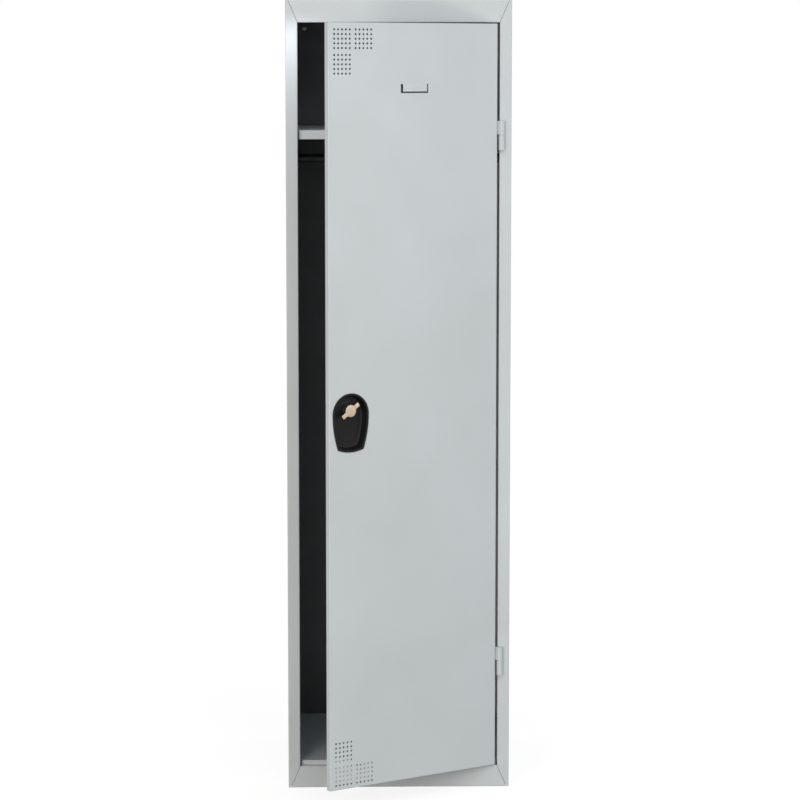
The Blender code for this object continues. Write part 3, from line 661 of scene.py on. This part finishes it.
@dataclass
class HandleCup:
    """Moulded handle cup around the latch, with a rolled rim, a soft floor and a low boss."""

    head: float = 0.047
    below_latch: float = 0.008
    foot_half: float = 0.0335
    drop: float = 0.084
    sag: float = 0.006
    straight: float = 0.038
    rim: float = 0.0045
    rim_round: float = 0.0014
    rim_fall: float = 0.0012
    wall: float = 0.0015
    depth: float = 0.0155
    draft: float = 0.004
    floor_round: float = 0.0035
    seat: float = 0.0003
    boss: float = 0.0155
    boss_top: float = -0.0118
    boss_edge: float = 0.001
    boss_fillet: float = 0.0012
    bore: float = 0.0063
    head_steps: int = 40
    side_steps: int = 14
    foot_steps: int = 12
    floor_steps: int = 5
    rim_steps: int = 4
    boss_steps: int = 3

    def outline(self, inset: float) -> list[Point]:
        """Return the outline about the latch: round head, sides that curve in, bowed foot.

        Args:
            inset: How far the outline is drawn in.

        Returns:
            Points of the closed outline, counter-clockwise.
        """
        head, foot = self.head - inset, self.foot_half - inset
        corner = self.sag + inset - self.drop
        bow = (foot**2 + self.sag**2) / (2 * self.sag)
        spread = math.degrees(math.asin(foot / bow))
        side = on_curve(((head, 0.0), (head, -self.straight), (foot, corner)), self.side_steps)[1:-1]
        points = on_arc((0.0, 0.0), head, 0.0, 180.0, self.head_steps)
        points += [(-x, y) for x, y in side]
        middle = (0.0, corner - self.sag + bow)
        points += on_arc(middle, bow, 270.0 - spread, 270.0 + spread, self.foot_steps)
        points += side[::-1]
        return [(x, y - self.below_latch) for x, y in points]

    def ring(self, inset: float, height: float) -> Ring:
        """Return the drawn-in outline at one height."""
        return [Vector((x, y, height)) for x, y in self.outline(inset)]

    def round_ring(self, radius: float, height: float) -> Ring:
        """Return a circle about the latch with as many points as the outline."""
        angles = [math.atan2(y, x) for x, y in self.outline(0.0)]
        return [Vector((radius * math.cos(a), radius * math.sin(a), height)) for a in angles]

    def profile(self) -> list[Point]:
        """Return the front skin from the floor over the rim to its seat.

        Returns:
            Points as (inset, height).
        """
        top = self.seat + self.wall
        floor = self.rim + self.draft
        slope = self.draft / (self.depth + top)
        low = -self.depth + self.floor_round
        high = top - self.rim_fall
        low_wall = (floor - slope * (low + self.depth), low)
        high_wall = (self.rim + slope * (top - high), high)
        corner = ((floor + self.floor_round, -self.depth), (floor, -self.depth), low_wall)
        inner = (high_wall, (self.rim, top), (self.rim - self.rim_round, top))
        outer = ((self.rim_round, top), (0.0, top), (0.0, self.seat))
        rim = on_curve(inner, self.rim_steps) + on_curve(outer, self.rim_steps)
        return on_curve(corner, self.floor_steps) + rim

    def build(self, place: DoorPlace) -> bpy.types.Object:
        """Build the cup and let it stand for the CAD cup.

        Args:
            place: Rest pose of the door.

        Returns:
            The cup.
        """
        boss, top, floor = self.boss, self.boss_top, -self.depth
        edge = ((boss - self.boss_edge, top), (boss, top), (boss, top - self.boss_edge))
        fillet = ((boss, floor + self.boss_fillet), (boss, floor), (boss + self.boss_fillet, floor))
        turned = on_curve(edge, self.boss_steps) + on_curve(fillet, self.boss_steps)
        back = floor - self.wall
        rings = [self.round_ring(self.bore, top)]
        rings += [self.round_ring(radius, height) for radius, height in turned]
        rings += [self.ring(inset, height) for inset, height in self.profile()]
        rings.append(self.ring(self.rim - self.wall, self.seat))
        rings.append(self.ring(self.rim + self.draft - self.wall, back))
        rings.append(self.round_ring(self.bore, back))
        bm = bmesh.new()
        add_loft(bm, rings, looped=True)
        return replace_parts(finish_piece("cup_moulding", bm, place.face(), ABS, "door"), "handle_cup")


@dataclass
class TurnKnob:
    """Cast knob of the turn latch: a disc with a soft edge, a bar across it and the spindle behind."""

    radius: float = 0.0135
    thick: float = 0.0035
    rear: float = -0.0014
    rear_edge: float = 0.0003
    front_round: float = 0.0016
    front_fall: float = 0.0012
    bar_length: float = 0.051
    bar_width: float = 0.0095
    bar_thick: float = 0.0030
    bar_rise: float = 0.0006
    bar_corner: float = 0.0016
    bar_edge: float = 0.0007
    spindle: float = 0.004
    tail: float = 0.0326
    around: int = 72
    front_steps: int = 4
    corner_steps: int = 4
    edge_steps: int = 3
    sharp_angle: float = 60.0

    def disc(self) -> bmesh.types.BMesh:
        """Return the disc and its spindle, turned about the latch's axis.

        Returns:
            A closed mesh.
        """
        edge, front = self.radius, self.rear + self.thick
        profile = [(self.spindle, -self.tail), (self.spindle, self.rear)]
        profile += [(edge - self.rear_edge, self.rear), (edge, self.rear + self.rear_edge)]
        soft = ((edge, front - self.front_fall), (edge, front), (edge - self.front_round, front))
        profile += on_curve(soft, self.front_steps)
        bm = bmesh.new()
        add_loft(bm, turned_rings(profile, self.around), looped=False)
        return bm

    def bar(self) -> bmesh.types.BMesh:
        """Return the bar, with rounded edges and ends.

        Returns:
            A closed mesh.
        """
        bm = bmesh.new()
        made = bmesh.ops.create_cube(bm, size=1.0)["verts"]
        low = self.rear + self.bar_rise
        high = self.rear + self.bar_thick
        bmesh.ops.scale(bm, vec=(self.bar_length, self.bar_width, high - low), verts=made)
        bmesh.ops.translate(bm, vec=(0.0, 0.0, (low + high) / 2), verts=made)
        rounding = {"affect": "EDGES", "profile": ROUND}
        upright = [e for e in bm.edges if abs(e.verts[0].co.z - e.verts[1].co.z) > (high - low) / 2]
        bmesh.ops.bevel(bm, geom=upright, offset=self.bar_corner, segments=self.corner_steps, **rounding)
        sharp = [e for e in bm.edges if e.calc_face_angle(0.0) > math.radians(self.sharp_angle)]
        bmesh.ops.bevel(bm, geom=sharp, offset=self.bar_edge, segments=self.edge_steps, **rounding)
        return bm

    def build(self, place: DoorPlace) -> bpy.types.Object:
        """Join disc and bar, and let the knob stand for the CAD knob.

        Args:
            place: Rest pose of the door and the latch.

        Returns:
            The knob.
        """
        bm = joined(self.disc(), self.bar())
        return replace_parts(finish_piece("knob_casting", bm, place.knob(), NICKEL, "latch"), "latch_knob")


@dataclass
class HangingRail:
    """Painted tube across the locker, its turned sockets and the bent-wire hooks that slide on it."""

    depth: float = 0.240
    height: float = 1.4395
    radius: float = 0.010
    wall: float = 0.0015
    half: float = 0.2504
    inside: float = 0.2527
    gap: float = 0.0003
    socket_radius: float = 0.020
    socket_base: float = 0.002
    socket_ring: float = 0.010
    socket_wall: float = 0.002
    # The base closes to this small radius around the axis, where its cap is one flat face.
    socket_middle: float = 0.0001
    flange_round: float = 0.0012
    flange_fall: float = 0.001
    neck_fillet: float = 0.0015
    mouth_round: float = 0.0008
    mouth_edge: float = 0.0002
    wire: float = 0.002
    play: float = 0.0008
    shank: float = 0.032
    bowl: float = 0.012
    tip: float = 0.010
    eye_start: float = -60.0
    hook_at: float = 0.080
    hook_crease: float = 60.0
    # A cut end of the wire is rounded: places along the wire and the size there, as shares of its radius.
    wire_end: tuple[Point, ...] = ((0.0, 0.35), (0.15, 0.65), (0.4, 0.87), (0.75, 0.98))
    around: int = 64
    edge_steps: int = 3
    fillet_steps: int = 4
    eye_steps: int = 40
    bowl_steps: int = 32
    wire_around: int = 20

    def across(self, x: float, side: Side) -> Matrix:
        """Return a place on the rail's axis with local Z pointing inwards from one side."""
        turn = Matrix.Rotation(math.radians(-90.0 * side.value), 4, "Y")
        return Matrix.Translation((x, self.depth, self.height)) @ turn

    def build_tube(self) -> bpy.types.Object:
        """Build the tube and let it stand for the CAD tube.

        Returns:
            The tube.
        """
        bore, skin, half = self.radius - self.wall, self.radius, self.half
        profile = [(bore, -half), (skin, -half), (skin, half), (bore, half)]
        bm = bmesh.new()
        add_loft(bm, turned_rings(profile, self.around), looped=True)
        piece = finish_piece("rail_tube", bm, self.across(0.0, Side.RIGHT), PAINT_RAIL, "carcass")
        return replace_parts(piece, "hanging_rail")

    def build_socket(self, side: Side) -> bpy.types.Object:
        """Build one socket with soft edges and let it stand for its CAD node.

        Args:
            side: Wall that carries it.

        Returns:
            The socket.
        """
        bore = self.radius + self.gap
        neck = bore + self.socket_wall
        flange, end, middle = self.socket_radius, self.socket_ring, self.socket_middle
        edge = ((flange, -self.flange_fall), (flange, 0.0), (flange - self.flange_round, 0.0))
        fillet = ((neck + self.neck_fillet, 0.0), (neck, 0.0), (neck, self.neck_fillet))
        mouth = ((neck, end - self.mouth_round), (neck, end), (neck - self.mouth_round, end))
        profile = [(middle, -self.socket_base), (flange, -self.socket_base)]
        profile += on_curve(edge, self.edge_steps)
        profile += on_curve(fillet, self.fillet_steps)
        profile += on_curve(mouth, self.edge_steps)
        profile += [(bore + self.mouth_edge, end), (bore, end - self.mouth_edge)]
        profile += [(bore, 0.0), (middle, 0.0)]
        bm = bmesh.new()
        add_loft(bm, turned_rings(profile, self.around), looped=False)
        place = self.across(side.value * (self.inside - self.socket_base), side)
        piece = finish_piece(f"socket_{side.name.lower()}", bm, place, ZINC, "carcass")
        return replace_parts(piece, f"rail_socket_{side.name.lower()}")

    def build_hook(self, side: Side) -> bpy.types.Object:
        """Build one hook of bent wire with a rounded tip and let it stand for its CAD node.

        Args:
            side: Side of the rail that it hangs on.

        Returns:
            The hook.
        """
        eye = self.radius + self.play + self.wire
        drop = self.play - self.gap
        bowl = (-eye - self.bowl, -drop - self.shank)
        line = on_arc((0.0, -drop), eye, self.eye_start, 180.0, self.eye_steps)
        line += on_arc(bowl, self.bowl, 0.0, -180.0, self.bowl_steps)
        line.append((bowl[0] - self.bowl, bowl[1] + self.tip))
        bm = bmesh.new()
        add_loft(bm, self.wire_rings(line), looped=False)
        place = Matrix.Translation((side.value * self.hook_at, self.depth, self.height))
        name = side.name.lower()
        piece = finish_piece(f"wire_hook_{name}", bm, place, ZINC, f"hook_{name}", crease=self.hook_crease)
        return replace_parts(piece, f"coat_hook_{name}")

    def wire_rings(self, line: list[Point]) -> list[Ring]:
        """Return rings of the wire along a line in YZ, drawn in at both ends to round them.

        Args:
            line: Middle of the wire as (y, z) points.

        Returns:
            The rings in order.
        """
        points = [Vector((0.0, y, z)) for y, z in line]
        first = (points[1] - points[0]).normalized()
        last = (points[-2] - points[-1]).normalized()
        stations = [(points[0] + first * self.wire * at, share) for at, share in self.wire_end]
        stations += [(point, 1.0) for point in points[1:-1]]
        stations += [(points[-1] + last * self.wire * at, share) for at, share in reversed(self.wire_end)]
        sideways = Vector((1.0, 0.0, 0.0))
        turns = [2 * math.pi * k / self.wire_around for k in range(self.wire_around)]
        rings = []
        for i, (centre, share) in enumerate(stations):
            before = stations[max(i - 1, 0)][0]
            after = stations[min(i + 1, len(stations) - 1)][0]
            out = (after - before).normalized().cross(sideways)
            spokes = [sideways * math.cos(a) + out * math.sin(a) for a in turns]
            rings.append([centre + spoke * self.wire * share for spoke in spokes])
        return rings

    def build(self) -> None:
        """Build the tube, the sockets and the hooks."""
        self.build_tube()
        for side in Side:
            self.build_socket(side)
            self.build_hook(side)


@dataclass
class FixingPlug:
    """Push-in plug of natural nylon that closes a wall-fixing hole, so that little light comes through."""

    from_centre: float = 0.215
    height: float = 1.741
    length: float = 0.010
    width: float = 0.006
    inner_face: float = 0.489
    sheet: float = 0.001
    lap: float = 0.0012
    head: float = 0.0010
    head_round: float = 0.0008
    head_fall: float = 0.0006
    gap: float = 0.0002
    end_steps: int = 10
    head_steps: int = 3

    def ring(self, grown: float, depth: float) -> Ring:
        """Return the oblong outline at one depth.

        Args:
            grown: How far the outline is grown on all sides.
            depth: Its place along Y.

        Returns:
            Points of the closed outline.
        """
        run = (self.length - self.width) / 2
        radius = self.width / 2 + grown
        outline = on_arc((run, 0.0), radius, -90.0, 90.0, self.end_steps)
        outline += on_arc((-run, 0.0), radius, 90.0, 270.0, self.end_steps)
        return [Vector((x, depth, z)) for x, z in outline]

    def build(self, side: Side) -> bpy.types.Object:
        """Build the plug of one side.

        Args:
            side: Side of the back panel.

        Returns:
            The plug.
        """
        seat = self.inner_face - self.gap
        top = seat - self.head
        soft = ((self.lap - self.head_round, top), (self.lap, top), (self.lap, top + self.head_fall))
        rings = [self.ring(grown, depth) for grown, depth in on_curve(soft, self.head_steps)]
        rings += [self.ring(self.lap, seat), self.ring(-self.gap, seat)]
        rings.append(self.ring(-self.gap, self.inner_face + self.sheet - self.gap))
        bm = bmesh.new()
        add_loft(bm, rings, looped=False)
        place = Matrix.Translation((side.value * self.from_centre, 0.0, self.height))
        return finish_piece(f"fixing_plug_{side.name.lower()}", bm, place, NATURAL_NYLON, "carcass")


def dress(nodes: Nodes, finish: Finish, *names: str) -> None:
    """Put one finish on CAD nodes.

    Args:
        nodes: CAD objects by name.
        finish: The finish.
        names: Names of the nodes that get it.
    """
    for name in names:
        nodes[name].data.materials[0] = finish.material()
        LOG.info("%s: %s", name, finish.name)


@dataclass
class Carcass:
    """Folded steel body: walls, roof, floor and shelf, with the door's buffers and the plugs in the back."""

    plug: FixingPlug = field(default_factory=FixingPlug)

    def build(self, nodes: Nodes) -> None:
        """Dress the sheets and the buffers, and close the fixing holes.

        Args:
            nodes: CAD objects by name.
        """
        dress(nodes, PAINT_SIDE, "side_panel_left", "side_panel_right")
        # The back sheet's inner side is painted shade in dark grey.
        dress(nodes, BACK_PAINTED_SHADE, "back_panel")
        dress(nodes, PAINT, "top_panel", "bottom_panel", "hat_shelf")
        dress(nodes, PAINT, "shelf_bracket_left", "shelf_bracket_right")
        dress(nodes, RUBBER, "door_buffer_left", "door_buffer_right")
        for side in Side:
            self.plug.build(side)


@dataclass
class Door:
    """Perforated pan door with its hinges, handle cup and turn latch."""

    cup: HandleCup = field(default_factory=HandleCup)
    knob: TurnKnob = field(default_factory=TurnKnob)

    def build(self, nodes: Nodes, place: DoorPlace) -> None:
        """Dress the door and its fittings, and build the cup and the knob.

        Args:
            nodes: CAD objects by name.
            place: Rest pose of the door and the latch.
        """
        dress(nodes, PAINT, "door_panel", "door_stiffener")
        # The holder's dark grey is partly painted shade, which darkens the label slit.
        dress(nodes, SLIT_SHADE_ABS, "label_pocket")
        for end in ("top", "bottom"):
            dress(nodes, PAINT, f"hinge_door_leaf_{end}", f"hinge_frame_leaf_{end}")
            dress(nodes, ZINC, f"hinge_pin_{end}")
            dress(nodes, NYLON, f"hinge_washer_{end}")
        dress(nodes, ZINC, "latch_bush", "bush_nut", "latch_cam", "cam_washer", "cam_nut")
        self.cup.build(place)
        self.knob.build(place)


@dataclass(frozen=True)
class Lamp:
    """A soft square lamp."""

    name: str
    place: tuple[float, float, float]
    aim: tuple[float, float, float]
    size: float
    power: float
    colour: str = "#FFFFFF"

    def build(self) -> None:
        """Add the lamp to the scene."""
        data = bpy.data.lights.new(self.name, "AREA")
        data.shape = "SQUARE"
        data.size = self.size
        data.energy = self.power
        data.color = linear(self.colour)[:3]
        lamp = bpy.data.objects.new(self.name, data)
        lamp.location = self.place
        lamp.visible_camera = False
        lamp.rotation_euler = (Vector(self.aim) - Vector(self.place)).to_track_quat("-Z", "Y").to_euler()
        bpy.context.scene.collection.objects.link(lamp)


@dataclass
class Studio:
    """White studio: pale floor, soft lamps and the camera at the photograph's angle."""

    ambient: float = 0.65
    floor_reach: float = 40.0
    floor_height: float = -0.0005
    floor_grey: float = 0.25
    floor_lift: float = 0.82
    fade_start: float = 0.7
    fade_end: float = 2.0
    foot_half: float = 0.250
    foot_front: float = 0.012
    foot_back: float = 0.486
    camera_place: tuple[float, float, float] = (-0.1569, -6.4598, 1.6704)
    camera_pitch: float = -6.813
    camera_yaw: float = -1.419
    camera_lens: float = 128.71
    camera_reach: float = 200.0
    # The corner lamp is small and close, and brightens only the upper part of the left stile.
    lamps: tuple[Lamp, ...] = (
        Lamp("key", (4.2, -2.6, 1.9), (0.0, -0.1, 1.0), 1.6, 24.0),
        Lamp("front", (0.9, -3.2, 3.4), (0.0, -0.1, 1.0), 1.4, 27.0),
        Lamp("front_low", (2.8, -4.2, 0.9), (0.0, -0.1, 0.7), 1.6, 19.0),
        Lamp("left_front", (-1.8, -5.0, 2.0), (0.0, -0.1, 1.0), 1.0, 42.0, "#FFF6EA"),
        Lamp("left_high", (-1.2, -3.2, 3.8), (0.0, -0.1, 1.0), 1.0, 12.0),
        Lamp("left_low", (-1.9, -3.45, 0.4), (-0.1, -0.1, 0.6), 0.8, 27.0, "#FFEEDC"),
        Lamp("corner", (-0.256, -0.118, 1.730), (-0.242, 0.0, 1.442), 0.08, 0.135, "#F4F2FF"),
    )

    def seen(self, tree: Tree) -> Socket:
        """Tell rays that show the background from those that only light the part.

        Args:
            tree: Node tree of the world or of a material.

        Returns:
            1 for rays from the camera, from a gloss or through glass, and 0 for others.
        """
        path = add_node(tree, "ShaderNodeLightPath").outputs
        direct = {0: path["Is Camera Ray"], 1: path["Is Glossy Ray"]}
        gloss = add_node(tree, "ShaderNodeMath", {"operation": "MAXIMUM"}, direct).outputs[0]
        through = {0: gloss, 1: path["Is Transmission Ray"]}
        return add_node(tree, "ShaderNodeMath", {"operation": "MAXIMUM"}, through).outputs[0]

    def build_world(self) -> None:
        """Make a world that is white to look at and lights the part softly."""
        world = bpy.data.worlds.new("studio")
        bpy.context.scene.world = world
        world.use_nodes = True
        tree = world.node_tree
        tree.nodes.clear()
        white = linear("#FFFFFF")
        soft = add_node(tree, "ShaderNodeBackground", inputs={"Color": white, "Strength": self.ambient})
        shown = add_node(tree, "ShaderNodeBackground", inputs={"Color": white, "Strength": WHITE})
        either = {0: self.seen(tree), 1: soft.outputs[0], 2: shown.outputs[0]}
        mixed = add_node(tree, "ShaderNodeMixShader", inputs=either)
        add_node(tree, "ShaderNodeOutputWorld", inputs={"Surface": mixed.outputs[0]})

    def floor_finish(self, lit: bool) -> bpy.types.Material:
        """Return the floor's material: matt grey to light, and white to look at where it is lit.

        Args:
            lit: False for the floor under the locker, which doesn't show white.

        Returns:
            The material.
        """
        finish = bpy.data.materials.new("studio_floor" if lit else "studio_floor_under")
        finish.use_nodes = True
        tree = finish.node_tree
        tree.nodes.clear()
        grey = (self.floor_grey, self.floor_grey, self.floor_grey, 1.0)
        cover = add_node(tree, "ShaderNodeBsdfDiffuse", inputs={"Color": grey}).outputs[0]
        if lit:
            glow = add_node(tree, "ShaderNodeEmission", inputs={"Strength": self.floor_lift}).outputs[0]
            lifted = add_node(tree, "ShaderNodeAddShader", inputs={0: cover, 1: glow}).outputs[0]
            white = add_node(tree, "ShaderNodeEmission", inputs={"Strength": WHITE}).outputs[0]
            place = add_node(tree, "ShaderNodeNewGeometry").outputs["Position"]
            far = add_node(tree, "ShaderNodeVectorMath", {"operation": "LENGTH"}, {0: place})
            fade = {"Value": far.outputs["Value"], "From Min": self.fade_start, "From Max": self.fade_end}
            ramp = add_node(tree, "ShaderNodeMapRange", {"interpolation_type": "SMOOTHSTEP"}, fade)
            fading = {0: ramp.outputs["Result"], 1: lifted, 2: white}
            faded = add_node(tree, "ShaderNodeMixShader", inputs=fading).outputs[0]
            either = {0: self.seen(tree), 1: cover, 2: faded}
            cover = add_node(tree, "ShaderNodeMixShader", inputs=either).outputs[0]
        add_node(tree, "ShaderNodeOutputMaterial", inputs={"Surface": cover})
        return finish

    def build_floor(self) -> None:
        """Make the pale floor in a grid of nine, whose middle lies under the locker."""
        bm = bmesh.new()
        across = (-self.floor_reach, -self.foot_half, self.foot_half, self.floor_reach)
        along = (-self.floor_reach, self.foot_front, self.foot_back, self.floor_reach)
        corners = [[bm.verts.new((x, y, self.floor_height)) for y in along] for x in across]
        for i in range(3):
            for j in range(3):
                ring = (corners[i][j], corners[i + 1][j], corners[i + 1][j + 1], corners[i][j + 1])
                bm.faces.new(ring).material_index = int(i == j == 1)
        mesh = bpy.data.meshes.new("floor")
        bm.to_mesh(mesh)
        bm.free()
        mesh.materials.append(self.floor_finish(lit=True))
        mesh.materials.append(self.floor_finish(lit=False))
        floor = bpy.data.objects.new("floor", mesh)
        bpy.context.scene.collection.objects.link(floor)

    def build_camera(self) -> None:
        """Place the camera at the photograph's viewing angle."""
        data = bpy.data.cameras.new("camera")
        data.lens = self.camera_lens
        data.clip_end = self.camera_reach
        camera = bpy.data.objects.new("camera", data)
        camera.location = self.camera_place
        camera.rotation_euler = (math.radians(90.0 + self.camera_pitch), 0.0, math.radians(self.camera_yaw))
        bpy.context.scene.collection.objects.link(camera)
        bpy.context.scene.camera = camera

    def build(self) -> None:
        """Build the world, the floor, the lamps and the camera."""
        bpy.context.scene.view_settings.view_transform = "Standard"
        self.build_world()
        self.build_floor()
        for lamp in self.lamps:
            lamp.build()
        self.build_camera()


def main() -> None:
    """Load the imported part, build its sub-assemblies, and set up the studio."""
    logging.basicConfig(level=logging.INFO, format="%(name)s: %(message)s")
    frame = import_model()
    place = DoorPlace.from_joints(frame["joints"])
    Carcass().build(frame["nodes"])
    HangingRail().build()
    Door().build(frame["nodes"], place)
    Studio().build()


if __name__ == "__main__":
    main()
